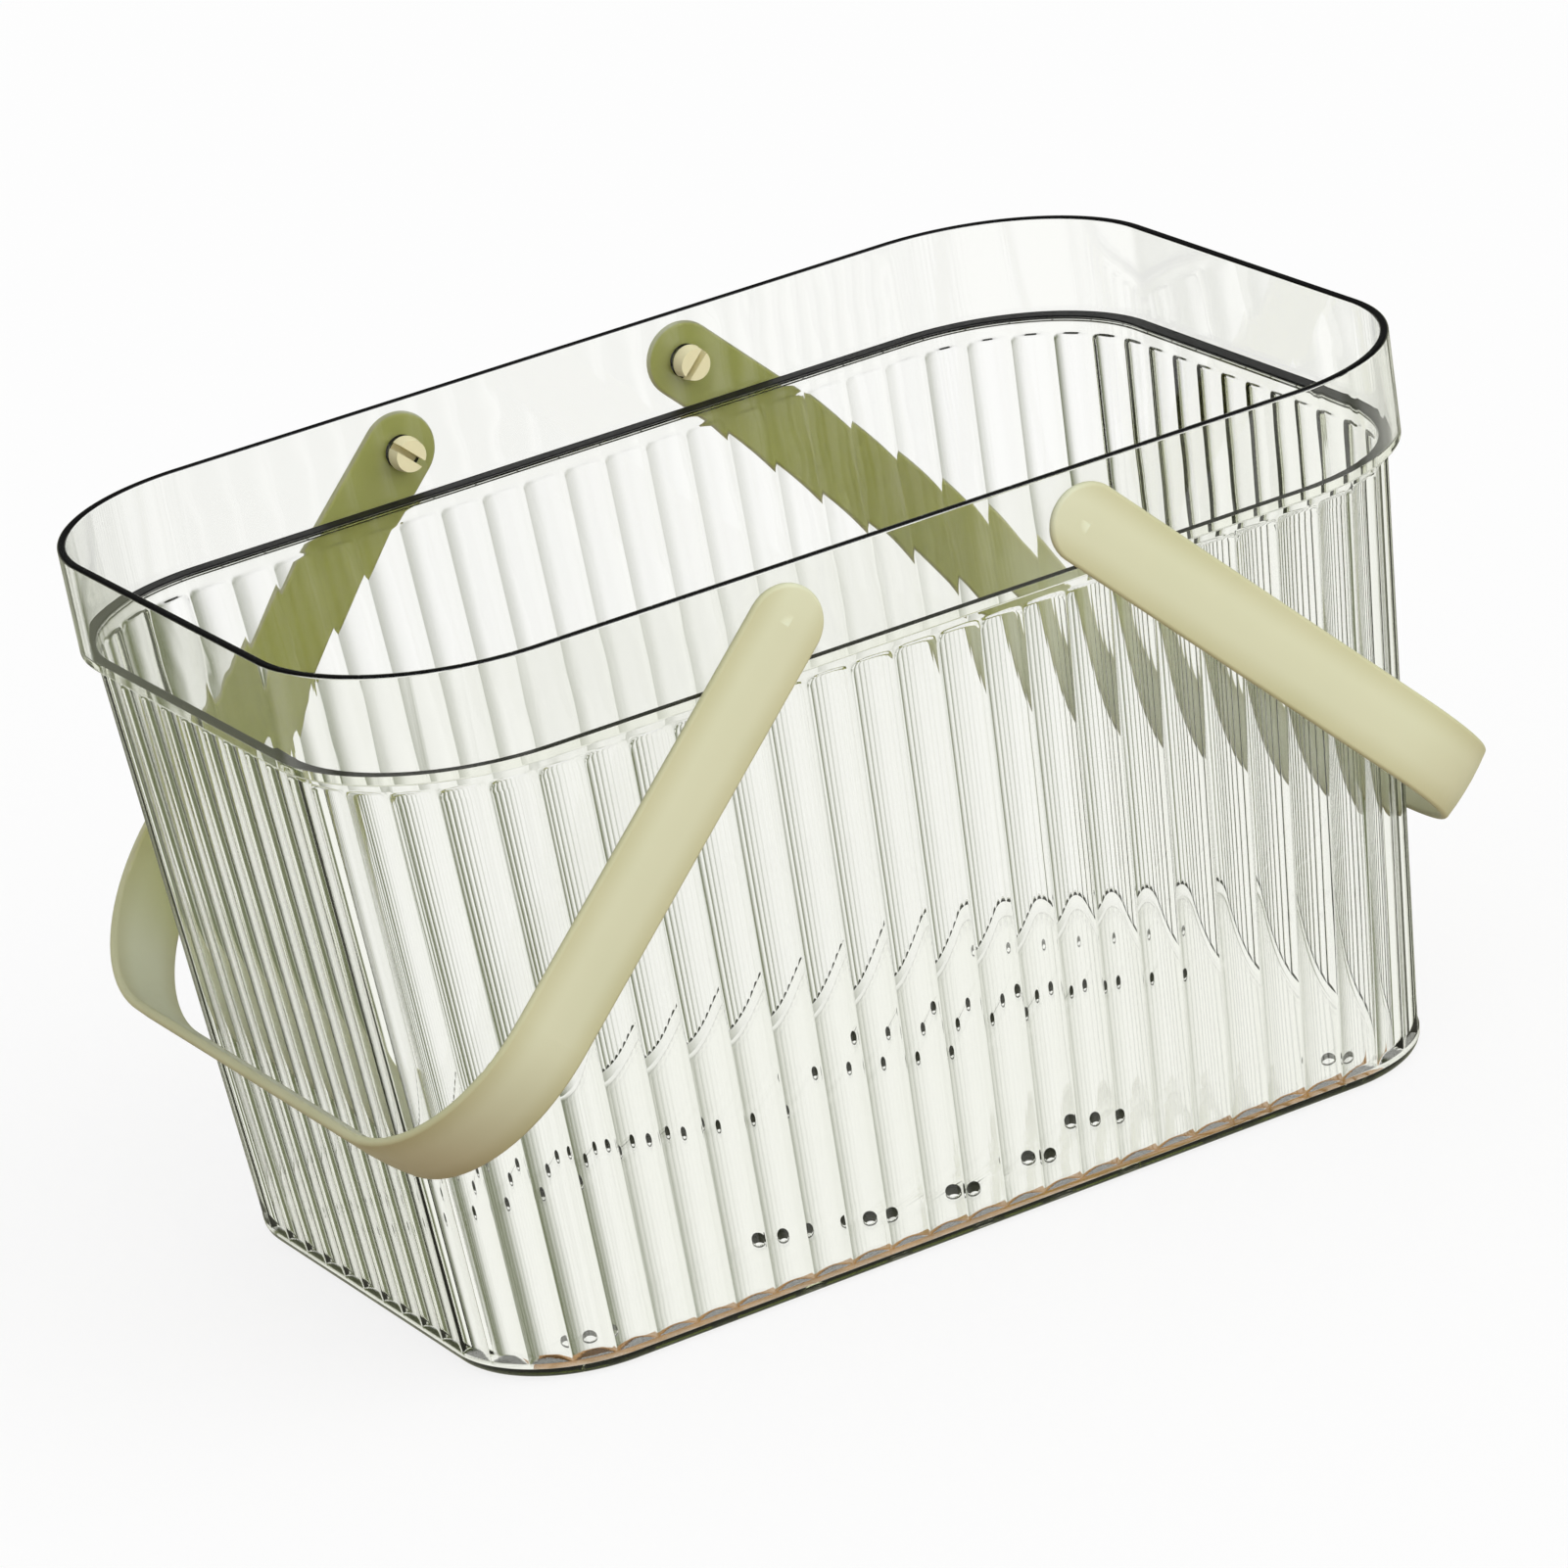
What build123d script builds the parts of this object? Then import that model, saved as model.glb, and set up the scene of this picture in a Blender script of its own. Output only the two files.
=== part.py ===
from build123d import *
from math import cos, degrees, pi, radians, sin
import os

# A clear fluted shower basket with two U-shaped handles. Each handle folds on two split snap pegs that pass
# through the collar of the basket. Millimetres, +Z up, +X along the basket, the front faces -Y, and the
# bottom rests on Z = 0.

# Basket, outside. An inset is how far an outline lies inside the outline of the rim.
RIM_LENGTH = 270.0
RIM_DEPTH = 180.0
CORNER_RADIUS = 44.0
HEIGHT = 166.0
RIM_ROUNDING = 0.6
COLLAR_BOTTOM = 141.7
COLLAR_INSET = 0.5
COLLAR_ROUNDING = 0.5
WALL_TOP_INSET = 3.3        # of the arrises, where the wall meets the underside of the collar
BASE_TOP = 4.0
BASE_INSET = 15.2
BASE_DRAFT = 0.3
BASE_ROUNDING = 3.4
LEDGE_TOP = 5.6
LEDGE_INSET = 16.05

# Flutes: hollow arcs side by side round the wall, an arris at the middle of the front
FLUTES = 76
FLUTE_DEPTH = 0.75
PROUD = 0.05        # the plain bands stand this much outside the arrises that run into them
RUN_IN = 1.0        # how far the fluted wall runs into the plain bands

# Basket, inside
COLLAR_WALL = 2.0
WALL = 2.4
FLOOR = 2.4
FLOOR_ROUNDING = 1.0
INNER_LEDGE_EDGE = 143.05       # height of the ledge behind the collar, at the wall
INNER_LEDGE_CORNER = 143.5      # and at the collar

# Drain holes along three bows: one towards the front and two side by side towards the rear
DRAIN_DIAMETER = 6.2
DRAIN_PITCH = 21.0          # along a bow
REAR_BOW_X = 53.0           # from the middle of the basket to the middle of a rear bow
REAR_BOW_CREST = 33.0
REAR_BOW_RADIUS = 47.0
REAR_BOW_HOLES = 4
FRONT_BOW_CREST = -54.5
FRONT_BOW_RADIUS = -82.0    # negative, because this bow is the other way up
FRONT_BOW_HOLES = 5

# Round recesses under the corners of the floor
RECESS_X = 94.5
RECESS_FRONT = -57.5
RECESS_REAR = 48.5
RECESS_DIAMETER = 6.0
RECESS_DEPTH = 1.4

# Handles
PIVOT_X = 36.6
PIVOT_Z = 153.7
REST_ANGLE = 45.5   # degrees below the horizontal when the handle is folded down
STRAP_WIDTH = 18.0
STRAP_THICKNESS = 2.6
STRAP_SHOULDER = 2.1        # height of the section where its crown starts
STRAP_CORNER = 1.0
STRAP_GAP = 0.4             # between strap and collar
REACH = 137.5               # from the pivot to the outside of the crossbar
INNER_BEND = 37.4

# Pegs
PEG_RADIUS = 3.6
PEG_FIT = 0.05              # radial running clearance in the collar
SPIGOT_RADIUS = 1.2         # of the narrow root, pressed into the handle
SOCKET_DEPTH = 1.4
SOCKET_FIT = 0.02
LIP_START = 4.55            # along the peg, from the end of its spigot
LIP_RADIUS = 4.1
LIP_LAND = 0.6
PEG_LENGTH = 8.0
PEG_FACE_RADIUS = 3.65
SLOT_WIDTH = 1.5
SLOT_DEPTH = 4.6

WALL_LEAN = (BASE_INSET - WALL_TOP_INSET) / (COLLAR_BOTTOM - BASE_TOP)
STRAIGHT_X = RIM_LENGTH - 2 * CORNER_RADIUS
STRAIGHT_Y = RIM_DEPTH - 2 * CORNER_RADIUS


def wall_inset(height):
    """Inset of the arrises at a height on the leaning wall."""
    return WALL_TOP_INSET + (COLLAR_BOTTOM - height) * WALL_LEAN


def outline_point(inset, fraction):
    """Point on an inset outline, a fraction of the way round from the middle of the front."""
    radius = CORNER_RADIUS - inset
    quarter = radius * pi / 2
    corner_to_corner = [quarter, STRAIGHT_Y, quarter, STRAIGHT_X, quarter, STRAIGHT_Y, quarter]
    runs = [STRAIGHT_X / 2] + corner_to_corner + [STRAIGHT_X / 2]
    travel = fraction * sum(runs)
    point = Vector(0, inset - RIM_DEPTH / 2)
    heading = 0.0
    for number, run in enumerate(runs):
        step = min(travel, run)
        travel -= step
        turn = 0.0
        chord = step
        if number % 2 == 1:
            turn = step / radius
            chord = 2 * radius * sin(turn / 2)
        point += Vector(chord, 0).rotate(Axis.Z, degrees(heading + turn / 2))
        heading += turn
    return point


def plain_section(inset, height):
    """Rounded rectangle at a height."""
    with BuildSketch(Plane.XY.offset(height)) as section:
        RectangleRounded(RIM_LENGTH - 2 * inset, RIM_DEPTH - 2 * inset, CORNER_RADIUS - inset)
    return section.sketch


def fluted_section(height):
    """Outline of hollow arcs at a height, with its arrises on the leaning wall."""
    arrises = [outline_point(wall_inset(height), number / FLUTES) for number in range(FLUTES)]
    with BuildSketch(Plane.XY.offset(height)) as section:
        with BuildLine():
            for start, end in zip(arrises, arrises[1:] + arrises[:1]):
                inward = (end - start).rotate(Axis.Z, 90).normalized()
                ThreePointArc(start, (start + end) / 2 + inward * FLUTE_DEPTH, end)
        make_face()
    return section.sketch


def plain_loft(profile):
    """Sections of a plain band, from pairs of inset and height."""
    return [plain_section(inset, height) for inset, height in profile]


base_profile = [
    (BASE_INSET - PROUD + BASE_DRAFT, 0),
    (BASE_INSET - PROUD, BASE_TOP),
    (LEDGE_INSET, LEDGE_TOP),
]
collar_profile = [
    (COLLAR_INSET, COLLAR_BOTTOM),
    (0, HEIGHT),
]
# The inside follows the outside at the wall's thickness, with a nearly flat ledge behind the collar.
cavity_profile = [
    (wall_inset(FLOOR) + WALL, FLOOR),
    (wall_inset(INNER_LEDGE_EDGE) + WALL, INNER_LEDGE_EDGE),
    (COLLAR_INSET + COLLAR_WALL, INNER_LEDGE_CORNER),
    (COLLAR_WALL, HEIGHT),
]

with BuildPart() as collar:
    loft(sections=plain_loft(collar_profile), ruled=True)
    fillet(collar.edges().group_by(Axis.Z)[0], COLLAR_ROUNDING)

with BuildPart() as cavity:
    loft(sections=plain_loft(cavity_profile), ruled=True)
    fillet(cavity.edges().group_by(Axis.Z)[0], FLOOR_ROUNDING)


def bow(middle, crest, radius, count):
    """Centres of drain holes on an arc. A negative radius turns the bow over."""
    turns = [(number - (count - 1) / 2) * DRAIN_PITCH / radius for number in range(count)]
    return [(middle + radius * sin(turn), crest - radius + radius * cos(turn)) for turn in turns]


drains = bow(0, FRONT_BOW_CREST, FRONT_BOW_RADIUS, FRONT_BOW_HOLES)
for side in (-1, 1):
    drains += bow(side * REAR_BOW_X, REAR_BOW_CREST, REAR_BOW_RADIUS, REAR_BOW_HOLES)
recesses = [(side * RECESS_X, wall) for side in (-1, 1) for wall in (RECESS_FRONT, RECESS_REAR)]

with BuildPart() as basket_body:
    loft(sections=plain_loft(base_profile), ruled=True)
    fillet(basket_body.edges().group_by(Axis.Z)[0], BASE_ROUNDING)
    loft(sections=[fluted_section(BASE_TOP - RUN_IN), fluted_section(COLLAR_BOTTOM + RUN_IN)], ruled=True)
    add(collar.part)
    add(cavity.part, mode=Mode.SUBTRACT)
    fillet(basket_body.edges().group_by(Axis.Z)[-1], RIM_ROUNDING)
    with Locations(*drains):
        Cylinder(DRAIN_DIAMETER / 2, 4 * FLOOR, mode=Mode.SUBTRACT)
    with Locations(*recesses):
        Cylinder(RECESS_DIAMETER / 2, 2 * RECESS_DEPTH, mode=Mode.SUBTRACT)
    with Locations((-PIVOT_X, 0, PIVOT_Z), (PIVOT_X, 0, PIVOT_Z)):
        Cylinder(PEG_RADIUS + PEG_FIT, 2 * RIM_DEPTH, rotation=(90, 0, 0), mode=Mode.SUBTRACT)


def hinge_plane(side):
    """Plane of a folded handle, with x along the straps and y along the hinge axis. Right side = 1."""
    tilt = radians(REST_ANGLE)
    along = (side * cos(tilt), 0, -sin(tilt))
    across = (side * sin(tilt), 0, cos(tilt))
    return Plane(origin=(side * PIVOT_X, 0, PIVOT_Z), x_dir=along, z_dir=across)


def strap_section(plane, half_only=False):
    """Section of a strap on a plane: flat towards the basket, crowned outside, with rounded edges."""
    half = STRAP_WIDTH / 2
    edge = half - STRAP_CORNER
    bevel = STRAP_CORNER * (1 - sin(radians(45)))
    with BuildSketch(plane) as section:
        with BuildLine():
            Line((0, 0), (edge, 0))
            ThreePointArc((edge, 0), (half - bevel, bevel), (half, STRAP_CORNER))
            outer_corner = (half - bevel, STRAP_SHOULDER - bevel)
            ThreePointArc((half, STRAP_CORNER), outer_corner, (edge, STRAP_SHOULDER))
            mirror(about=Plane.YZ)
            ThreePointArc((edge, STRAP_SHOULDER), (0, STRAP_THICKNESS), (-edge, STRAP_SHOULDER))
        make_face()
        if half_only:
            Rectangle(STRAP_WIDTH, STRAP_WIDTH, align=(Align.MIN, Align.CENTER), mode=Mode.INTERSECT)
    return section.sketch


def handle(side):
    """U-shaped strap with round ends and a blind peg socket in each end."""
    hinge = hinge_plane(side)
    leg_y = RIM_DEPTH / 2 + STRAP_GAP
    bar_x = REACH - STRAP_THICKNESS
    bend_x = bar_x - INNER_BEND
    bend_y = leg_y - INNER_BEND
    ends = {}
    for leg in (-1, 1):
        origin = hinge.from_local_coords((0, leg * leg_y, 0))
        ends[leg] = Plane(origin=origin, x_dir=hinge.z_dir, z_dir=hinge.x_dir * -leg)
    section = strap_section(ends[-1])
    end_sections = [strap_section(plane, half_only=True) for plane in ends.values()]
    socket_length = 2 * (leg_y + SOCKET_DEPTH)
    with BuildPart() as strap:
        with BuildLine(hinge) as route:
            Line((0, -leg_y), (bend_x, -leg_y))
            RadiusArc((bend_x, -leg_y), (bar_x, -bend_y), -INNER_BEND)
            Line((bar_x, -bend_y), (bar_x, bend_y))
            RadiusArc((bar_x, bend_y), (bend_x, leg_y), -INNER_BEND)
            Line((bend_x, leg_y), (0, leg_y))
        sweep(sections=section, path=route.wire())
        for end_section in end_sections:
            revolve(end_section, axis=Axis(hinge.origin, hinge.y_dir * -1), revolution_arc=180)
        with Locations(hinge.origin):
            Cylinder(SPIGOT_RADIUS + SOCKET_FIT, socket_length, rotation=(90, 0, 0), mode=Mode.SUBTRACT)
    return strap.part


def peg(side, wall):
    """Split snap peg, from its spigot in the handle through the collar. Rear wall = 1."""
    hinge = hinge_plane(side)
    root = hinge.origin + Vector(0, wall * (RIM_DEPTH / 2 + STRAP_GAP + SOCKET_DEPTH), 0)
    inward = Vector(0, -wall, 0)
    profile = Plane(origin=root, x_dir=hinge.x_dir, z_dir=hinge.x_dir.cross(inward))
    face = Plane(origin=root + inward * PEG_LENGTH, x_dir=hinge.x_dir, z_dir=inward)
    with BuildPart() as snap:
        with BuildSketch(profile):
            with BuildLine():
                Polyline(
                    (0, 0),
                    (SPIGOT_RADIUS, 0),
                    (SPIGOT_RADIUS, SOCKET_DEPTH),
                    (PEG_RADIUS, SOCKET_DEPTH),
                    (PEG_RADIUS, LIP_START),
                    (LIP_RADIUS, LIP_START),
                    (LIP_RADIUS, LIP_START + LIP_LAND),
                    (PEG_FACE_RADIUS, PEG_LENGTH),
                    (0, PEG_LENGTH),
                    close=True,
                )
            make_face()
        revolve(axis=Axis(root, inward))
        with BuildSketch(face):
            Rectangle(SLOT_WIDTH, 4 * LIP_RADIUS)
        extrude(amount=-SLOT_DEPTH, mode=Mode.SUBTRACT)
    return snap.part


pieces = {
    "basket_body": basket_body.part,
    "left_handle": handle(-1),
    "right_handle": handle(1),
    "peg_front_left": peg(-1, -1),
    "peg_rear_left": peg(-1, 1),
    "peg_front_right": peg(1, -1),
    "peg_rear_right": peg(1, 1),
}

os.makedirs("parts", exist_ok=True)
for name, piece in pieces.items():
    piece.label = name
    export_step(piece, f"parts/{name}.step")
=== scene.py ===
from math import cos, pi, radians, sin, sqrt

import bpy
from mathutils import Matrix, Vector
from mathutils.geometry import tessellate_polygon


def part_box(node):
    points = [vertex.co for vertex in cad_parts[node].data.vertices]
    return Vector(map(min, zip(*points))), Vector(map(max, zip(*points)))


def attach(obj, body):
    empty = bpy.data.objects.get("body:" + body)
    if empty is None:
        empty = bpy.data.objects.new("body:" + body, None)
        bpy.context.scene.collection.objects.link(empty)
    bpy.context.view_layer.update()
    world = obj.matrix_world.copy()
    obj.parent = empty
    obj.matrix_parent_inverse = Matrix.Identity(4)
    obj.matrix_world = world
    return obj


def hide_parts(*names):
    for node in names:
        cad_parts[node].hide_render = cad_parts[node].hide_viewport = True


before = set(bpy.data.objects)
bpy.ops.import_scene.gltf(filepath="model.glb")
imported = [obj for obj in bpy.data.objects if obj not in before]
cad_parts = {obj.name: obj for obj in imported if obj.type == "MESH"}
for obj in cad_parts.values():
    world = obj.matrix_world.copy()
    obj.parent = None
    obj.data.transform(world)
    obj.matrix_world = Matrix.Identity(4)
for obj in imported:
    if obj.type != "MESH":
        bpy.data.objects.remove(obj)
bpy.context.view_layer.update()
scene = bpy.context.scene

MM = 0.001

# Basket sizes in millimetres. An inset is how far an outline lies inside the outline of the rim.
basket_low, basket_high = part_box("basket_body")
RIM_LENGTH = (basket_high[0] - basket_low[0]) / MM
RIM_DEPTH = (basket_high[1] - basket_low[1]) / MM
HEIGHT = basket_high[2] / MM
CORNER_RADIUS = 44.0
COLLAR_BOTTOM = 141.7
COLLAR_INSET = 0.5
COLLAR_ROUNDING = 0.5
WALL_TOP_INSET = 3.3
UNDER_ROUNDING = 0.7
BASE_TOP = 4.0
BASE_INSET = 15.2
BASE_SIDE_DRAFT = 0.06
BASE_ROUNDING = 3.4
LEDGE_TOP = 5.6
LEDGE_INSET = 16.05
COLLAR_WALL = 2.0
WALL = 2.4
FLOOR = 2.4
FLOOR_ROUNDING = 0.06
INNER_LEDGE_EDGE = 143.4
INNER_LEDGE_CORNER = 143.5
LEDGE_CORNER_ROUNDING = 0.15
LEDGE_ROUNDING = 0.5
RIM_ROUNDING = 0.6
EDGE_ROUNDING = 0.25

# Flutes
FLUTES = 76
FLUTE_DEPTH = 0.75
ARCH_TOP = 139.3        # the flutes end in round-cornered arches below the collar
ARCH_CORNER = 2.2
ARCH_RUNOUT = 0.9
ARCH_HALF_WIDTH = 5.2
# Columns of the mesh across one flute, close together at the ridges so that these are finely rounded
FLUTE_COLUMNS = [0.014, 0.03, 0.1, 0.2, 0.3, 0.4, 0.5, 0.6, 0.7, 0.8, 0.9, 0.97, 0.986]

# Drain holes
DRAIN_RADIUS = 3.1
DRAIN_EDGE = 0.3
DRAIN_SIDES = 32
DRAIN_PITCH = 21.0
REAR_BOW_X = 53.0
REAR_BOW_CREST = 33.0
REAR_BOW_RADIUS = 47.0
REAR_BOW_HOLES = 4
FRONT_BOW_CREST = -54.5
FRONT_BOW_RADIUS = -82.0
FRONT_BOW_HOLES = 5

# Round recesses under the corners of the floor
RECESS_X = 94.5
RECESS_FRONT = -57.5
RECESS_REAR = 48.5
RECESS_RADIUS = 3.0
RECESS_DEPTH = 1.4
RECESS_EDGE = 0.15

# Hinges and pegs
PIVOT_X = 36.6
PIVOT_Z = 153.7
PEG_HOLE_RADIUS = 3.65
PEG_HOLE_EDGE = 0.3
PEG_HOLE_SIDES = 48
REST_ANGLE = radians(45.5)
STRAP_WIDTH = 18.0

SHARP_ANGLE = radians(50)
SMALL_ARC = 4      # steps of the mesh round a small rounding
LARGE_ARC = 6

# Look of the clear plastic. Colours are linear.
PLASTIC_IOR = 1.5
TINT = (0.70, 0.74, 0.40)
TINT_DENSITY = 42.0
WAVES = (60.0, 1.0)     # scale and detail of the faint unevenness of the walls
WAVE_STRENGTH = 0.15
WAVE_HEIGHT = 0.0004
# Painted shade: near-black base colour on the rim, the ledge inside the collar, the hole walls, the base
# step and round the peg holes, where the plastic traps the light
PAINTED_EDGE_SHADE_COLOUR = (0.00002, 0.00003, 0.00005)
EDGE_ROUGHNESS = 0.1
LEDGE_ROUGHNESS = 0.5
LEDGE_REACH = (3.0, 8.0)    # from the ledge, where its roughness gives way to that of the other edges
TOP_EDGES_START = COLLAR_BOTTOM + 0.6
HOLES_REACH_X = RECESS_X + 6.0
HOLES_REACH_Y = -RECESS_FRONT + 5.0
BASE_STEP_TOP = LEDGE_TOP + 0.1
BASE_STEP_PAINTED_SHADE = 0.9
# Upward part of the normal, between no and full painted shade of an edge
TOP_EDGE_SLOPE = (0.2, 0.5)
HOLE_WALL_SLOPE = (0.95, 0.8)
BASE_STEP_SLOPE = (0.2, 0.4)

# Look of the handles and pegs
SATIN_IOR = 1.46
HANDLE_COLOUR = (0.67, 0.70, 0.50)
# Painted shade: a strap's colour deepens towards its edges, in place of the shading of a crowned face
HANDLE_EDGE_SHADE_COLOUR = (0.46, 0.44, 0.20)
HANDLE_EDGE_SHADE_SHARE = 0.5
# Painted shade: the faces of the legs that look to the collar, which lie in shade, take this darker, greener
# colour
HANDLE_INNER_SHADE_COLOUR = (0.57, 0.61, 0.17)
INNER_FADE = (95.0, 135.0)      # from the middle of the basket, where the painted inner shade fades out
INNER_FACING = (-0.95, -0.6)    # outward part of the normal, where the painted inner shade fades out
EDGE_SHADE = (0.15, 0.52)       # of the strap's width, off its centre line, where the painted edge shade fades in
PEG_COLOUR = (0.86, 0.80, 0.50)
PALE_MOTTLE = (0.80, 0.77, 0.60)
MOTTLE = (35.0, 3.0)            # scale and detail
MOTTLE_RANGE = (0.3, 0.7)
MOTTLE_SHARE = 0.12
SATIN = (400.0, 2.0)            # scale and detail
SATIN_RANGE = (0.2, 0.8)
SATIN_ROUGHNESS = (0.36, 0.48)
GRAIN = (2500.0, 2.0)           # scale and detail
GRAIN_STRENGTH = 0.12
GRAIN_HEIGHT = 0.0001

# Camera, fitted to the photograph
CAMERA_AZIMUTH = radians(25.39)
CAMERA_ELEVATION = radians(20.31)
CAMERA_ROLL = radians(-9.88)
CAMERA_TARGET = (0, 0, 0.075)
CAMERA_DISTANCE = 1.83178
CAMERA_REACH = 100.0
SENSOR_WIDTH = 36.0
LENS = 191.1
SHIFT_X = -0.0028
SHIFT_Y = 0.0233

# Studio
WHITE = (1.0, 1.0, 1.0)
FLOOR_REACH = 30.0
FLOOR_LEVEL = -0.0003
FLOOR_COLOUR = (0.93, 0.93, 0.93)
FLOOR_ROUGHNESS = 0.9
FLOOR_GLOW = 0.8
BOUNCE_COLOUR = (0.74, 0.62, 0.46)
GLOSS_FLOOR = (0.42, 0.43, 0.33)
WOOD_COLOUR = (0.44, 0.21, 0.05)
WOOD_DARK = 0.7         # of the wood's colour, in its grain
WOOD_GRAIN = (120.0, 3.0)       # scale and detail
WOOD_GRAIN_RANGE = (0.3, 0.7)
WOOD_SHARE = 0.33       # of the way round the base
WOOD_STEPS = 96
WOOD_INSIDE = 9.0
WOOD_DROP = 4.0
WOOD_PLACE = (-0.13, -0.11, 0.0)
WOOD_BOUNCE = (0.26, 0.12, 0.03)
WOOD_BOUNCE_REACH = (0.08, 0.36)
STRIPE_COLOUR = (0.10, 0.12, 0.04)
# Degrees to the left of the photograph's view where dark stripes of the backdrop begin, are full, begin to
# end and end. They repeat every half turn.
STRIPES = [(2.5, 19.5, 19.6, 26), (34, 42, 50, 60), (90, 98, 102, 110)]
STRIPE_FADE = (-50, -35)        # degrees above level, from no stripes to full ones
CEILING_COLOUR = (0.06, 0.06, 0.06)
CEILING_FADE = (20, 44)         # degrees above level, seen through the plastic
GLOSS_FADE = (2, 14)            # degrees above level, seen mirrored
KEY_DIRECTION = (0.25, -0.75, 0.6)
KEY_EDGE = (55, 10)             # degrees off the key direction, from no key light to all of it
KEY_LEVEL = 2.0
FILL_LEVEL = 0.68

WALL_LEAN = (BASE_INSET - WALL_TOP_INSET) / (COLLAR_BOTTOM - BASE_TOP)
STRAIGHT_X = RIM_LENGTH - 2 * CORNER_RADIUS
STRAIGHT_Y = RIM_DEPTH - 2 * CORNER_RADIUS


def wall_inset(height):
    """Inset of the ridges at a height on the leaning wall."""
    return WALL_TOP_INSET + (COLLAR_BOTTOM - height) * WALL_LEAN


def outline_point(inset, fraction):
    """Point on an inset outline, a fraction of the way round from the middle of the front."""
    radius = CORNER_RADIUS - inset
    quarter = radius * pi / 2
    corner_to_corner = [quarter, STRAIGHT_Y, quarter, STRAIGHT_X, quarter, STRAIGHT_Y, quarter]
    runs = [STRAIGHT_X / 2] + corner_to_corner + [STRAIGHT_X / 2]
    travel = (fraction % 1.0) * sum(runs)
    point = Vector((0, inset - RIM_DEPTH / 2))
    heading = 0.0
    for number, run in enumerate(runs):
        step = min(travel, run)
        travel -= step
        turn = 0.0
        chord = step
        if number % 2 == 1:
            turn = step / radius
            chord = 2 * radius * sin(turn / 2)
        direction = heading + turn / 2
        point += Vector((chord * cos(direction), chord * sin(direction)))
        heading += turn
    return point


def plain_ring(inset, height):
    """Points of a plain outline at a height, one for each column of the mesh."""
    ring = []
    for flute in range(FLUTES):
        for across in FLUTE_COLUMNS:
            spot = outline_point(inset, (flute + across) / FLUTES)
            ring.append(Vector((spot.x, spot.y, height)))
    return ring


def fluted_ring(height, hollow):
    """Points of the fluted wall at a height. hollow(across) is the share of the flute's full depth there."""
    inset = wall_inset(height)
    ridges = [outline_point(inset, flute / FLUTES) for flute in range(FLUTES)]
    ring = []
    for flute, start in enumerate(ridges):
        end = ridges[(flute + 1) % FLUTES]
        chord = end - start
        inward = Vector((-chord.y, chord.x)).normalized()
        for across in FLUTE_COLUMNS:
            share = hollow(across)
            plain = outline_point(inset, (flute + across) / FLUTES)
            cut = start + chord * across + inward * FLUTE_DEPTH * 4 * across * (1 - across)
            spot = plain.lerp(cut, share)
            ring.append(Vector((spot.x, spot.y, height)))
    return ring


def arch_height(across):
    """Height of the arch that closes a flute at its top."""
    from_side = ARCH_HALF_WIDTH * (1 - abs(2 * across - 1))
    into_corner = max(0.0, ARCH_CORNER - from_side)
    return ARCH_TOP - ARCH_CORNER + sqrt(ARCH_CORNER**2 - min(into_corner, ARCH_CORNER) ** 2)


def arch_share(height):
    """Function that gives how far the flutes are cut at a height near their arches."""

    def share(across):
        below = (arch_height(across) - height) / ARCH_RUNOUT
        step = min(max(below, 0.0), 1.0)
        return step * step * (3 - 2 * step)

    return share


def arc_steps(count):
    """Angles that divide a quarter turn, ends included."""
    return [pi / 2 * number / count for number in range(count + 1)]


def outer_rings():
    """Rings of the outside, from the rim down to the flat of the bottom."""
    rings = []
    for angle in arc_steps(SMALL_ARC):
        inset = RIM_ROUNDING * (1 - sin(angle))
        rings.append(plain_ring(inset, HEIGHT - RIM_ROUNDING * (1 - cos(angle))))
    rings.append(plain_ring(COLLAR_INSET / 2, (HEIGHT + COLLAR_BOTTOM) / 2))
    for angle in arc_steps(SMALL_ARC):
        inset = COLLAR_INSET + COLLAR_ROUNDING * (1 - cos(angle))
        rings.append(plain_ring(inset, COLLAR_BOTTOM + COLLAR_ROUNDING * (1 - sin(angle))))
    for angle in arc_steps(SMALL_ARC):
        inset = WALL_TOP_INSET - UNDER_ROUNDING * (1 - sin(angle))
        rings.append(plain_ring(inset, COLLAR_BOTTOM - UNDER_ROUNDING * (1 - cos(angle))))
    arch_rows = 12
    arch_bottom = ARCH_TOP - ARCH_CORNER - ARCH_RUNOUT
    arch_start = ARCH_TOP + EDGE_ROUNDING
    for row in range(arch_rows + 1):
        height = arch_start + (arch_bottom - arch_start) * row / arch_rows
        rings.append(fluted_ring(height, arch_share(height)))
    wall_rows = 6
    for row in range(1, wall_rows + 1):
        height = arch_bottom + (LEDGE_TOP + EDGE_ROUNDING - arch_bottom) * row / wall_rows
        rings.append(fluted_ring(height, lambda across: 1.0))
    ledge_rows = 9
    for row in range(ledge_rows + 1):
        share = row / ledge_rows
        height = LEDGE_TOP + (BASE_TOP - LEDGE_TOP) * share
        ledge = plain_ring(LEDGE_INSET + (BASE_INSET - LEDGE_INSET) * share, height)
        cut = fluted_ring(height, lambda across: 1.0)
        rings.append([outermost(a, b) for a, b in zip(ledge, cut)])
    side_inset = BASE_INSET + BASE_SIDE_DRAFT
    for angle in arc_steps(LARGE_ARC):
        inset = side_inset + BASE_ROUNDING * (1 - cos(angle))
        rings.append(plain_ring(inset, BASE_ROUNDING * (1 - sin(angle))))
    return rings


def outermost(first, second):
    """Whichever of two points at one height lies further outside the middle of the basket."""
    middle_x = max(min(first.x, STRAIGHT_X / 2), -STRAIGHT_X / 2)
    middle_y = max(min(first.y, STRAIGHT_Y / 2), -STRAIGHT_Y / 2)
    centre = Vector((middle_x, middle_y))
    return first if (first.xy - centre).length > (second.xy - centre).length else second


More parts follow.
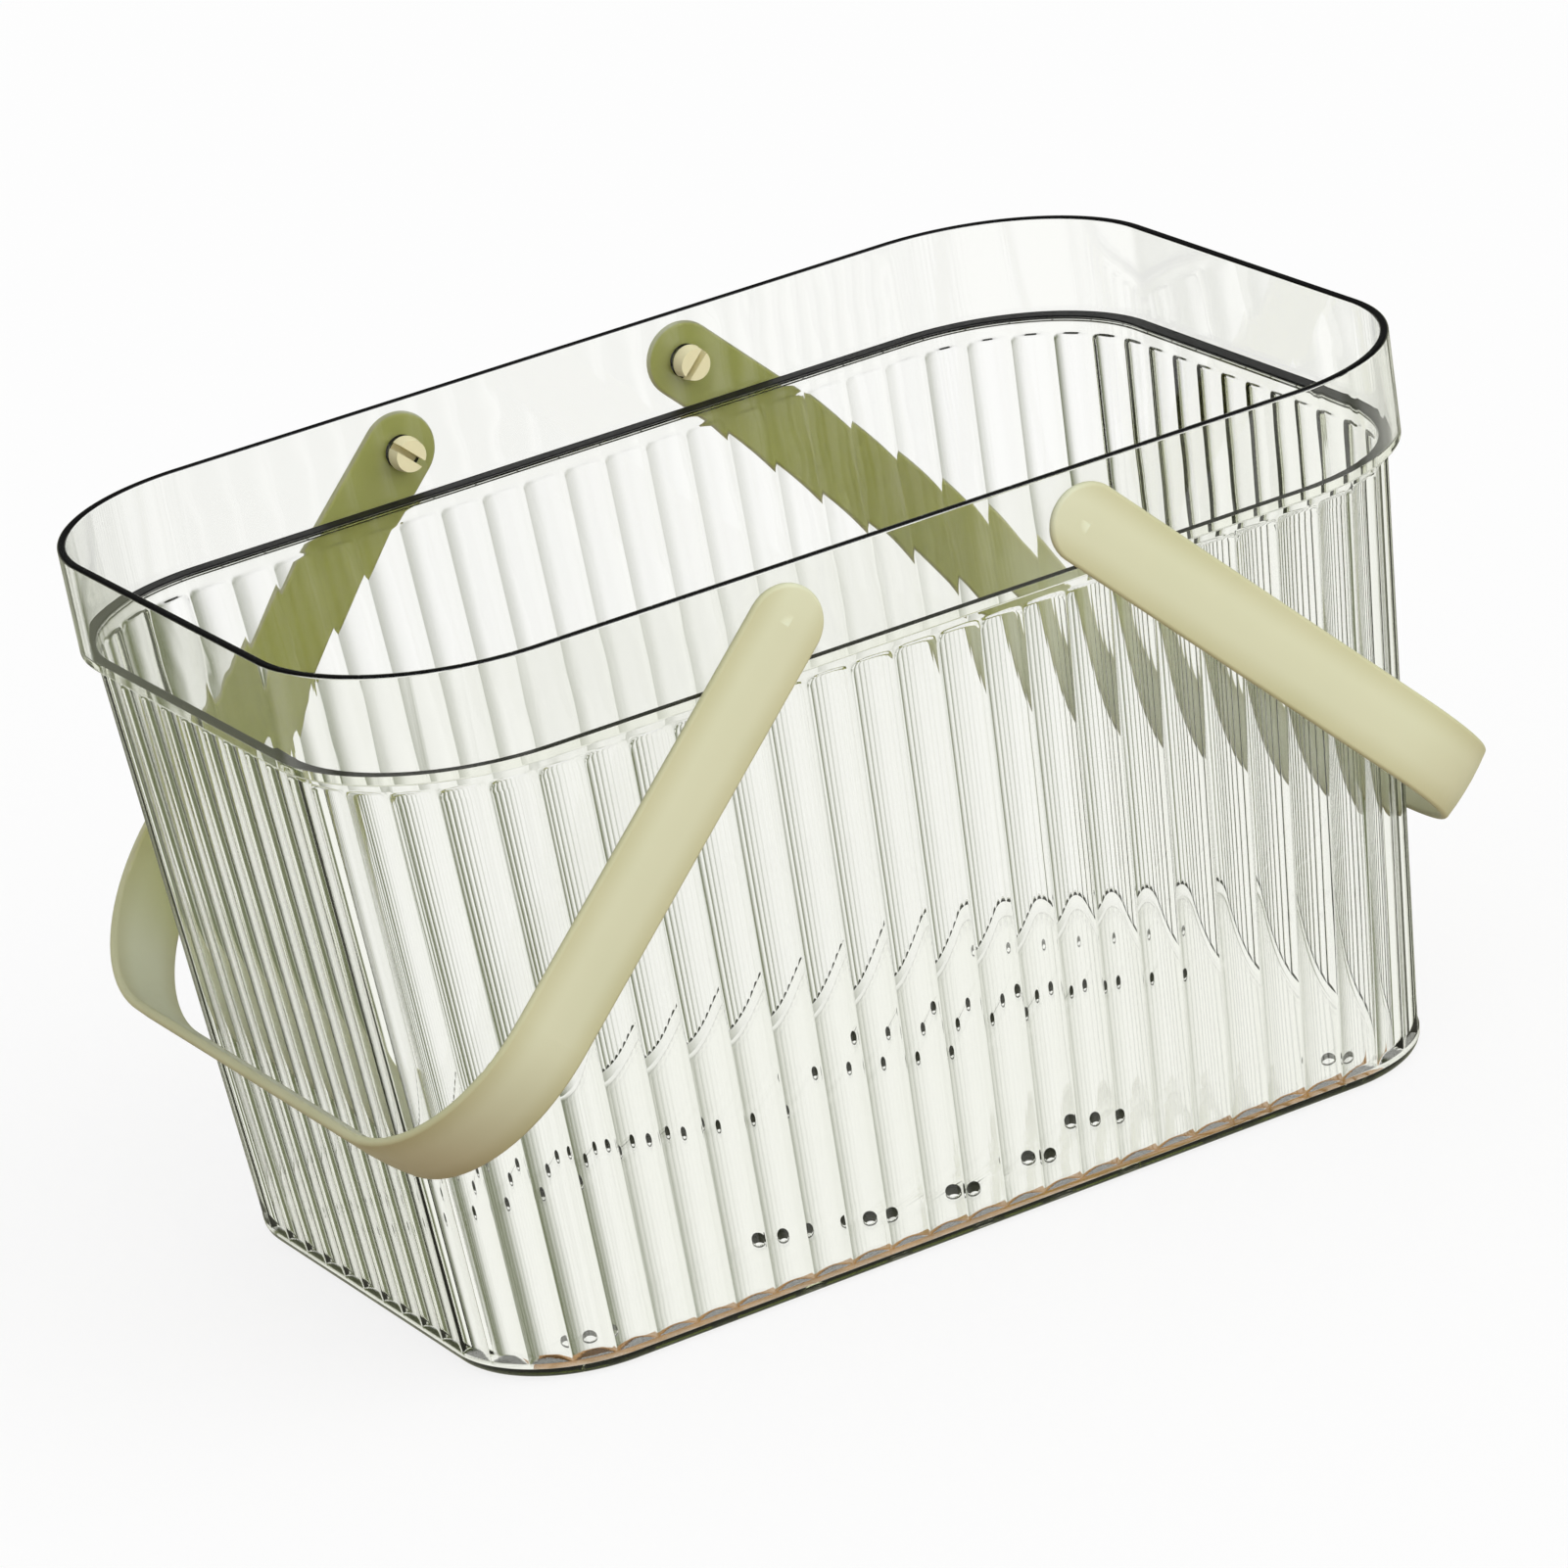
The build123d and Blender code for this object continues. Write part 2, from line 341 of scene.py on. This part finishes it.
def inner_rings():
    """Rings of the inside, from the rim down to the flat of the floor."""
    rings = []
    for angle in arc_steps(SMALL_ARC)[1:]:
        inset = COLLAR_WALL - RIM_ROUNDING * (1 - sin(angle))
        rings.append(plain_ring(inset, HEIGHT - RIM_ROUNDING * (1 - cos(angle))))
    ledge_inset = wall_inset(INNER_LEDGE_EDGE) + WALL
    collar_inset = COLLAR_INSET + COLLAR_WALL
    rings.append(plain_ring((COLLAR_WALL + collar_inset) / 2, (HEIGHT + INNER_LEDGE_CORNER) / 2))
    for angle in arc_steps(SMALL_ARC):
        inset = collar_inset + LEDGE_CORNER_ROUNDING * (1 - cos(angle))
        rings.append(plain_ring(inset, INNER_LEDGE_CORNER + LEDGE_CORNER_ROUNDING * (1 - sin(angle))))
    for angle in arc_steps(SMALL_ARC):
        inset = ledge_inset - LEDGE_ROUNDING * (1 - sin(angle))
        rings.append(plain_ring(inset, INNER_LEDGE_EDGE - LEDGE_ROUNDING * (1 - cos(angle))))
    wall_rows = 4
    wall_top = INNER_LEDGE_EDGE - LEDGE_ROUNDING
    wall_bottom = FLOOR + FLOOR_ROUNDING
    for row in range(1, wall_rows):
        height = wall_top + (wall_bottom - wall_top) * row / wall_rows
        rings.append(plain_ring(wall_inset(height) + WALL, height))
    foot_inset = wall_inset(wall_bottom) + WALL
    for angle in arc_steps(LARGE_ARC):
        inset = foot_inset + FLOOR_ROUNDING * (1 - cos(angle))
        rings.append(plain_ring(inset, wall_bottom - FLOOR_ROUNDING * sin(angle)))
    return rings


def bow(middle, crest, radius, count):
    """Centres of drain holes on an arc. A negative radius turns the bow over."""
    turns = [(number - (count - 1) / 2) * DRAIN_PITCH / radius for number in range(count)]
    return [Vector((middle + radius * sin(turn), crest - radius + radius * cos(turn))) for turn in turns]


def drain_centres():
    """Centres of all the drain holes: two bows at the rear and one at the front."""
    centres = bow(0, FRONT_BOW_CREST, FRONT_BOW_RADIUS, FRONT_BOW_HOLES)
    for side in (-1, 1):
        centres += bow(side * REAR_BOW_X, REAR_BOW_CREST, REAR_BOW_RADIUS, REAR_BOW_HOLES)
    return centres


def circle(centre, radius, height):
    """Points of the edge of a drain hole or recess, anticlockwise from above."""
    angles = [2 * pi * n / DRAIN_SIDES for n in range(DRAIN_SIDES)]
    return [Vector((centre.x + radius * cos(a), centre.y + radius * sin(a), height)) for a in angles]


class MeshMaker:
    """Collects points and faces for one mesh. Lengths go in as millimetres."""

    def __init__(self):
        self.points = []
        self.faces = []

    def ring(self, points):
        """Adds points and returns their numbers."""
        first = len(self.points)
        self.points.extend(points)
        return list(range(first, len(self.points)))

    def band(self, upper, lower):
        """Joins two rings of equal count by four-sided faces."""
        count = len(upper)
        for n in range(count):
            after = (n + 1) % count
            self.faces.append((upper[n], lower[n], lower[after], upper[after]))

    def plate(self, rings, upward):
        """Fills a flat outline round its holes."""
        order = [number for ring in rings for number in ring]
        flat = [[self.points[number] for number in ring] for ring in rings]
        for triangle in tessellate_polygon(flat):
            face = [order[corner] for corner in triangle]
            a, b, c = (self.points[number] for number in face)
            if ((b - a).cross(c - a).z > 0) != upward:
                face.reverse()
            self.faces.append(tuple(face))

    def build(self, name):
        """Makes an object of the points and faces."""
        mesh = bpy.data.meshes.new(name)
        mesh.from_pydata([point * MM for point in self.points], [], self.faces)
        mesh.validate()
        piece = bpy.data.objects.new(name, mesh)
        scene.collection.objects.link(piece)
        return piece


def bake(piece):
    """Replaces a piece's mesh by the one that its modifiers give."""
    shaped = piece.evaluated_get(bpy.context.evaluated_depsgraph_get())
    mesh = bpy.data.meshes.new_from_object(shaped)
    piece.modifiers.clear()
    piece.data = mesh


def hinge_circle(side, depth):
    """Points of a peg hole's edge, at a distance in front of or behind the middle of the basket."""
    ring = []
    for number in range(PEG_HOLE_SIDES):
        turn = 2 * pi * number / PEG_HOLE_SIDES
        across = side * PIVOT_X + PEG_HOLE_RADIUS * sin(turn)
        ring.append(Vector((across, depth, PIVOT_Z + PEG_HOLE_RADIUS * cos(turn))))
    return ring


def cut_peg_holes(piece):
    """Bores the two hinge lines right through the collar."""
    maker = MeshMaker()
    for side in (-1, 1):
        front = maker.ring(hinge_circle(side, -RIM_DEPTH))
        rear = maker.ring(hinge_circle(side, RIM_DEPTH))
        maker.band(rear, front)
        maker.faces.append(tuple(front))
        maker.faces.append(tuple(reversed(rear)))
    cutter = maker.build("peg_hole_cutter")
    cut = piece.modifiers.new("peg_holes", "BOOLEAN")
    cut.operation = "DIFFERENCE"
    cut.object = cutter
    bake(piece)
    bpy.data.objects.remove(cutter)


def smooth(piece):
    """Smooth shading whose normals follow the large faces, so that only the roundings bend the light."""
    mesh = piece.data
    mesh.polygons.foreach_set("use_smooth", [True] * len(mesh.polygons))
    mesh.set_sharp_from_angle(angle=SHARP_ANGLE)
    even = piece.modifiers.new("even_normals", "WEIGHTED_NORMAL")
    even.keep_sharp = True
    bake(piece)


def basket_mesh():
    """The clear moulding as one closed mesh."""
    maker = MeshMaker()
    outer = [maker.ring(points) for points in outer_rings()]
    inner = [maker.ring(points) for points in inner_rings()]
    for upper, lower in zip(outer, outer[1:]):
        maker.band(upper, lower)
    for upper, lower in zip([outer[0]] + inner, inner):
        maker.band(lower, upper)
    top_holes = []
    bottom_holes = []
    for centre in drain_centres():
        depth = [
            (DRAIN_RADIUS + DRAIN_EDGE, FLOOR),
            (DRAIN_RADIUS, FLOOR - DRAIN_EDGE),
            (DRAIN_RADIUS, DRAIN_EDGE),
            (DRAIN_RADIUS + DRAIN_EDGE, 0),
        ]
        rings = [maker.ring(circle(centre, radius, height)) for radius, height in depth]
        for upper, lower in zip(rings, rings[1:]):
            maker.band(lower, upper)
        top_holes.append(rings[0])
        bottom_holes.append(rings[-1])
    for side in (-1, 1):
        for depth in (RECESS_FRONT, RECESS_REAR):
            centre = Vector((side * RECESS_X, depth))
            edge = maker.ring(circle(centre, RECESS_RADIUS + RECESS_EDGE, 0))
            mouth = maker.ring(circle(centre, RECESS_RADIUS, RECESS_EDGE))
            roof = maker.ring(circle(centre, RECESS_RADIUS, RECESS_DEPTH))
            maker.band(edge, mouth)
            maker.band(mouth, roof)
            maker.plate([roof], upward=False)
            bottom_holes.append(edge)
    maker.plate([inner[-1]] + top_holes, upward=True)
    maker.plate([outer[-1]] + bottom_holes, upward=False)
    piece = maker.build("clear_basket")
    cut_peg_holes(piece)
    smooth(piece)
    return piece


basket = basket_mesh()
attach(basket, "basket")
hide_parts("basket_body")


def node_material(name):
    """New node material, with its node tree, shader and output."""
    material = bpy.data.materials.new(name)
    material.use_nodes = True
    tree = material.node_tree
    return material, tree, tree.nodes["Principled BSDF"], tree.nodes["Material Output"]


def maths(tree, operation, first, second=None):
    """Adds a maths node. Its inputs are numbers or sockets of other nodes."""
    node = tree.nodes.new("ShaderNodeMath")
    node.operation = operation
    for socket, value in zip(node.inputs, (first, second)):
        if isinstance(value, bpy.types.NodeSocket):
            tree.links.new(value, socket)
        elif value is not None:
            socket.default_value = value
    return node.outputs[0]


def chain(tree, operation, first, *others):
    """Adds maths nodes that apply one operation to several values in turn."""
    for other in others:
        first = maths(tree, operation, first, other)
    return first


def ramp(tree, value, low, high, at_low=0.0, at_high=1.0):
    """Adds a smooth step from one level to another as a value goes from low to high."""
    node = tree.nodes.new("ShaderNodeMapRange")
    node.interpolation_type = "SMOOTHSTEP"
    node.inputs["From Min"].default_value = low
    node.inputs["From Max"].default_value = high
    node.inputs["To Min"].default_value = at_low
    node.inputs["To Max"].default_value = at_high
    tree.links.new(value, node.inputs["Value"])
    return node.outputs["Result"]


def blend(tree, share, first, second):
    """Adds a mix of two colours by a share."""
    node = tree.nodes.new("ShaderNodeMix")
    node.data_type = "RGBA"
    for socket, colour in ((node.inputs[6], first), (node.inputs[7], second)):
        if isinstance(colour, bpy.types.NodeSocket):
            tree.links.new(colour, socket)
        else:
            socket.default_value = (*colour, 1.0)
    tree.links.new(share, node.inputs["Factor"])
    return node.outputs[2]


def noise(tree, place, scale, detail):
    """Adds a cloud pattern in the piece's own coordinates."""
    node = tree.nodes.new("ShaderNodeTexNoise")
    node.inputs["Scale"].default_value = scale
    node.inputs["Detail"].default_value = detail
    tree.links.new(place, node.inputs["Vector"])
    return node.outputs["Fac"]


def raise_surface(tree, height, strength, distance, shader):
    """Roughens a shader's surface by a height pattern."""
    bump = tree.nodes.new("ShaderNodeBump")
    bump.inputs["Strength"].default_value = strength
    bump.inputs["Distance"].default_value = distance
    tree.links.new(height, bump.inputs["Height"])
    tree.links.new(bump.outputs["Normal"], shader.inputs["Normal"])


def parts_of(tree, vector):
    """Adds a split of a vector into its three numbers."""
    node = tree.nodes.new("ShaderNodeSeparateXYZ")
    tree.links.new(vector, node.inputs[0])
    return node.outputs["X"], node.outputs["Y"], node.outputs["Z"]


def painted_edge_shade(tree, x, y, height, upward):
    """Adds painted shade on the edges of the clear plastic that trap the light: the rim, the ledge inside
    the collar, the walls of the holes, the step above the base and the rings round the peg holes."""
    out_x = maths(tree, "ABSOLUTE", x)
    out_y = maths(tree, "ABSOLUTE", y)
    above = maths(tree, "GREATER_THAN", height, TOP_EDGES_START * MM)
    top_edges = maths(tree, "MULTIPLY", ramp(tree, upward, *TOP_EDGE_SLOPE), above)
    low = maths(tree, "LESS_THAN", height, FLOOR * MM)
    inside_x = maths(tree, "LESS_THAN", out_x, HOLES_REACH_X * MM)
    inside_y = maths(tree, "LESS_THAN", out_y, HOLES_REACH_Y * MM)
    flat, steep = HOLE_WALL_SLOPE
    steepness = ramp(tree, upward, steep, flat, 1.0, 0.0)
    hole_walls = chain(tree, "MULTIPLY", low, inside_x, inside_y, steepness)
    over_base = maths(tree, "GREATER_THAN", height, BASE_TOP * MM)
    under_flutes = maths(tree, "LESS_THAN", height, BASE_STEP_TOP * MM)
    step_slope = ramp(tree, upward, *BASE_STEP_SLOPE, 0.0, BASE_STEP_PAINTED_SHADE)
    base_step = chain(tree, "MULTIPLY", over_base, under_flutes, step_slope)
    off_x = maths(tree, "SUBTRACT", out_x, PIVOT_X * MM)
    off_z = maths(tree, "SUBTRACT", height, PIVOT_Z * MM)
    square_x = maths(tree, "MULTIPLY", off_x, off_x)
    square_z = maths(tree, "MULTIPLY", off_z, off_z)
    from_hinge = maths(tree, "SQRT", maths(tree, "ADD", square_x, square_z))
    peg_holes = maths(tree, "LESS_THAN", from_hinge, (PEG_HOLE_RADIUS + PEG_HOLE_EDGE) * MM)
    return chain(tree, "MAXIMUM", top_edges, hole_walls, base_step, peg_holes)


def clear_plastic():
    """Clear moulded plastic, faintly olive through its depth, with painted shade darkening its edges."""
    material, tree, shader, output = node_material("clear_plastic")
    shader.inputs["Transmission Weight"].default_value = 1.0
    shader.inputs["IOR"].default_value = PLASTIC_IOR
    coordinates = tree.nodes.new("ShaderNodeTexCoord")
    place = coordinates.outputs["Object"]
    raise_surface(tree, noise(tree, place, *WAVES), WAVE_STRENGTH, WAVE_HEIGHT, shader)
    x, y, height = parts_of(tree, place)
    upward = maths(tree, "ABSOLUTE", parts_of(tree, coordinates.outputs["Normal"])[2])
    edge = painted_edge_shade(tree, x, y, height, upward)
    # The base colour goes to near black on the masked edges: painted shade
    tree.links.new(blend(tree, edge, WHITE, PAINTED_EDGE_SHADE_COLOUR), shader.inputs["Base Color"])
    off_ledge = maths(tree, "ABSOLUTE", maths(tree, "SUBTRACT", height, INNER_LEDGE_EDGE * MM))
    near, far = (reach * MM for reach in LEDGE_REACH)
    dullness = ramp(tree, off_ledge, near, far, LEDGE_ROUGHNESS, EDGE_ROUGHNESS)
    tree.links.new(maths(tree, "MULTIPLY", edge, dullness), shader.inputs["Roughness"])
    tint = tree.nodes.new("ShaderNodeVolumeAbsorption")
    tint.inputs["Color"].default_value = (*TINT, 1.0)
    tint.inputs["Density"].default_value = TINT_DENSITY
    tree.links.new(tint.outputs["Volume"], output.inputs["Volume"])
    return material


def satin_plastic(name, colour, inner_shade_colour, edge_shade_share):
    """Fine-grained satin plastic. The faces of a strap's legs that look to the collar have painted shade in
    the inner shade colour, and a strap has painted shade, deeper in colour towards its edges, by a share."""
    material, tree, shader, _ = node_material(name)
    shader.inputs["IOR"].default_value = SATIN_IOR
    coordinates = tree.nodes.new("ShaderNodeTexCoord")
    place = coordinates.outputs["Object"]
    x, y, height = parts_of(tree, place)
    facing = parts_of(tree, coordinates.outputs["Normal"])[1]
    outward = maths(tree, "MULTIPLY", facing, maths(tree, "SIGN", y))
    out_from_middle = maths(tree, "ABSOLUTE", x)
    leg_end, bar_start = (reach * MM for reach in INNER_FADE)
    straight = ramp(tree, out_from_middle, leg_end, bar_start, 1.0, 0.0)
    # Mask of the painted shade on the leg faces that look to the collar
    inner = maths(tree, "MULTIPLY", straight, ramp(tree, outward, *INNER_FACING, 1.0, 0.0))
    along_x = maths(tree, "SUBTRACT", out_from_middle, PIVOT_X * MM)
    along_z = maths(tree, "SUBTRACT", height, PIVOT_Z * MM)
    from_x = maths(tree, "MULTIPLY", along_x, sin(REST_ANGLE))
    from_z = maths(tree, "MULTIPLY", along_z, cos(REST_ANGLE))
    off_centre = maths(tree, "ABSOLUTE", maths(tree, "ADD", from_x, from_z))
    middle, rim = (STRAP_WIDTH * share * MM for share in EDGE_SHADE)
    shade = ramp(tree, off_centre, middle, rim, 0.0, edge_shade_share)
    # Painted shade towards the strap's edges
    painted_crown_shade = blend(tree, shade, colour, HANDLE_EDGE_SHADE_COLOUR)
    plain = blend(tree, inner, painted_crown_shade, inner_shade_colour)
    mottle = ramp(tree, noise(tree, place, *MOTTLE), *MOTTLE_RANGE, 0.0, MOTTLE_SHARE)
    tree.links.new(blend(tree, mottle, plain, PALE_MOTTLE), shader.inputs["Base Color"])
    dullness = ramp(tree, noise(tree, place, *SATIN), *SATIN_RANGE, *SATIN_ROUGHNESS)
    tree.links.new(dullness, shader.inputs["Roughness"])
    raise_surface(tree, noise(tree, place, *GRAIN), GRAIN_STRENGTH, GRAIN_HEIGHT, shader)
    return material


basket.data.materials.append(clear_plastic())
handle_plastic = satin_plastic("handle_plastic", HANDLE_COLOUR, HANDLE_INNER_SHADE_COLOUR, HANDLE_EDGE_SHADE_SHARE)
peg_plastic = satin_plastic("peg_plastic", PEG_COLOUR, PEG_COLOUR, 0.0)
for name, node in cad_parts.items():
    if name.startswith("peg_"):
        node.material_slots[0].material = peg_plastic
    elif name.endswith("_handle"):
        node.material_slots[0].material = handle_plastic


def add_camera():
    """Camera at the photograph's viewing angle."""
    data = bpy.data.cameras.new("camera")
    data.sensor_width = SENSOR_WIDTH
    data.lens = LENS
    data.shift_x = SHIFT_X
    data.shift_y = SHIFT_Y
    data.clip_end = CAMERA_REACH
    camera = bpy.data.objects.new("camera", data)
    level = cos(CAMERA_ELEVATION)
    forward = Vector((sin(CAMERA_AZIMUTH) * level, cos(CAMERA_AZIMUTH) * level, -sin(CAMERA_ELEVATION)))
    level_right = Vector((cos(CAMERA_AZIMUTH), -sin(CAMERA_AZIMUTH), 0))
    level_up = level_right.cross(forward)
    right = level_right * cos(CAMERA_ROLL) + level_up * sin(CAMERA_ROLL)
    up = level_up * cos(CAMERA_ROLL) - level_right * sin(CAMERA_ROLL)
    turn = Matrix((right, up, -forward)).transposed().to_4x4()
    camera.matrix_world = Matrix.Translation(Vector(CAMERA_TARGET) - forward * CAMERA_DISTANCE) @ turn
    scene.collection.objects.link(camera)
    scene.camera = camera


def rays(tree):
    """Values that are one for a ray straight from the camera, for one that is seen bent through the plastic,
    and for one that is seen mirrored in a surface. Rays that only gather light are none of these."""
    path = tree.nodes.new("ShaderNodeLightPath")
    seen = maths(tree, "LESS_THAN", path.outputs["Diffuse Depth"], 0.5)
    through = path.outputs["Is Transmission Ray"]
    bent = maths(tree, "MULTIPLY", through, seen)
    gloss_only = maths(tree, "SUBTRACT", path.outputs["Is Glossy Ray"], through)
    mirrored = maths(tree, "MULTIPLY", maths(tree, "MAXIMUM", gloss_only, 0.0), seen)
    return path.outputs["Is Camera Ray"], bent, mirrored


def mix_shaders(tree, share, first, second):
    """Adds a mix of two shaders by a share."""
    node = tree.nodes.new("ShaderNodeMixShader")
    tree.links.new(share, node.inputs["Fac"])
    tree.links.new(first, node.inputs[1])
    tree.links.new(second, node.inputs[2])
    return node.outputs[0]


def stage_object(name, points, faces):
    """New mesh object for the studio."""
    mesh = bpy.data.meshes.new(name)
    mesh.from_pydata(points, [], faces)
    piece = bpy.data.objects.new(name, mesh)
    scene.collection.objects.link(piece)
    return piece


def add_floor():
    """White floor that keeps the basket's shadow. Through the plastic, the backdrop shows in its place."""
    corners = [(-1, -1), (1, -1), (1, 1), (-1, 1)]
    points = [(x * FLOOR_REACH, y * FLOOR_REACH, FLOOR_LEVEL) for x, y in corners]
    floor = stage_object("floor", points, [(0, 1, 2, 3)])
    material, tree, shader, output = node_material("floor_white")
    shader.inputs["Roughness"].default_value = FLOOR_ROUGHNESS
    shader.inputs["Specular IOR Level"].default_value = 0.0
    direct, bent, mirrored = rays(tree)
    reach = tree.nodes.new("ShaderNodeVectorMath")
    reach.operation = "DISTANCE"
    tree.links.new(tree.nodes.new("ShaderNodeTexCoord").outputs["Object"], reach.inputs[0])
    reach.inputs[1].default_value = WOOD_PLACE
    near = ramp(tree, reach.outputs["Value"], *WOOD_BOUNCE_REACH, 1.0, 0.0)
    bounce = blend(tree, near, BOUNCE_COLOUR, WOOD_BOUNCE)
    tree.links.new(blend(tree, direct, bounce, FLOOR_COLOUR), shader.inputs["Base Color"])
    glow = tree.nodes.new("ShaderNodeEmission")
    tree.links.new(blend(tree, mirrored, WHITE, GLOSS_FLOOR), glow.inputs["Color"])
    share = maths(tree, "ADD", maths(tree, "MULTIPLY", direct, FLOOR_GLOW), mirrored)
    surface = mix_shaders(tree, share, shader.outputs[0], glow.outputs[0])
    gone = tree.nodes.new("ShaderNodeBsdfTransparent")
    tree.links.new(mix_shaders(tree, bent, surface, gone.outputs[0]), output.inputs["Surface"])
    floor.data.materials.append(material)


def add_wood():
    """Wooden table edge below the front of the base. It shows only through the plastic, from outside."""
    fractions = [(step / WOOD_STEPS - 0.5) * WOOD_SHARE for step in range(WOOD_STEPS + 1)]
    points = []
    for height in (FLOOR_LEVEL / 2, -WOOD_DROP * MM):
        for fraction in fractions:
            spot = outline_point(BASE_INSET + WOOD_INSIDE, fraction)
            points.append((spot.x * MM, spot.y * MM, height))
    count = len(fractions)
    faces = [(n, count + n, count + n + 1, n + 1) for n in range(WOOD_STEPS)]
    wood = stage_object("wood", points, faces)
    material, tree, _, output = node_material("wood")
    place = tree.nodes.new("ShaderNodeTexCoord").outputs["Object"]
    grain = ramp(tree, noise(tree, place, *WOOD_GRAIN), *WOOD_GRAIN_RANGE)
    dark_wood = tuple(part * WOOD_DARK for part in WOOD_COLOUR)
    glow = tree.nodes.new("ShaderNodeEmission")
    tree.links.new(blend(tree, grain, WOOD_COLOUR, dark_wood), glow.inputs["Color"])
    gone = tree.nodes.new("ShaderNodeBsdfTransparent")
    from_inside = tree.nodes.new("ShaderNodeNewGeometry").outputs["Backfacing"]
    bent = rays(tree)[1]
    shown = maths(tree, "MULTIPLY", bent, maths(tree, "SUBTRACT", 1.0, from_inside))
    tree.links.new(mix_shaders(tree, shown, gone.outputs[0], glow.outputs[0]), output.inputs["Surface"])
    wood.data.materials.append(material)


def add_world():
    """Soft white studio, brighter from the upper front. Through the plastic it is a white backdrop with
    upright stripes of olive grey, under a dark ceiling."""
    world = bpy.data.worlds.new("studio")
    scene.world = world
    world.use_nodes = True
    tree = world.node_tree
    background = tree.nodes["Background"]
    direction = tree.nodes.new("ShaderNodeTexCoord").outputs["Generated"]

    def towards(heading):
        node = tree.nodes.new("ShaderNodeVectorMath")
        node.operation = "DOT_PRODUCT"
        tree.links.new(direction, node.inputs[0])
        node.inputs[1].default_value = Vector(heading).normalized()
        return node.outputs["Value"]

    def rising(angles):
        return ramp(tree, towards((0, 0, 1)), *(sin(radians(angle)) for angle in angles))

    key = ramp(tree, towards(KEY_DIRECTION), *(cos(radians(angle)) for angle in KEY_EDGE))
    lit = ramp(tree, key, 0.0, 1.0, FILL_LEVEL, KEY_LEVEL)
    leftward = towards((-cos(CAMERA_AZIMUTH), sin(CAMERA_AZIMUTH), 0))
    onward = towards((sin(CAMERA_AZIMUTH), cos(CAMERA_AZIMUTH), 0))
    turned = maths(tree, "ADD", maths(tree, "ARCTAN2", leftward, onward), 2 * pi)
    turned = maths(tree, "MODULO", turned, pi)
    stripes = 0.0
    for stripe in STRIPES:
        start, full, wane, end = (radians(angle) for angle in stripe)
        fade_out = ramp(tree, turned, wane, end, 1.0, 0.0)
        shade = maths(tree, "MULTIPLY", ramp(tree, turned, start, full), fade_out)
        stripes = maths(tree, "ADD", shade, stripes)
    stripes = maths(tree, "MULTIPLY", stripes, rising(STRIPE_FADE))
    striped = blend(tree, stripes, WHITE, STRIPE_COLOUR)
    backdrop = blend(tree, rising(CEILING_FADE), striped, CEILING_COLOUR)
    dim = blend(tree, rising(GLOSS_FADE), GLOSS_FLOOR, CEILING_COLOUR)
    gloss = blend(tree, key, dim, WHITE)
    direct, bent, mirrored = rays(tree)
    light = tree.nodes.new("ShaderNodeCombineXYZ")
    for socket in light.inputs:
        tree.links.new(lit, socket)
    colour = blend(tree, bent, light.outputs[0], backdrop)
    colour = blend(tree, mirrored, colour, gloss)
    tree.links.new(blend(tree, direct, colour, WHITE), background.inputs["Color"])


add_camera()
add_floor()
add_wood()
add_world()
scene.view_settings.view_transform = "Standard"
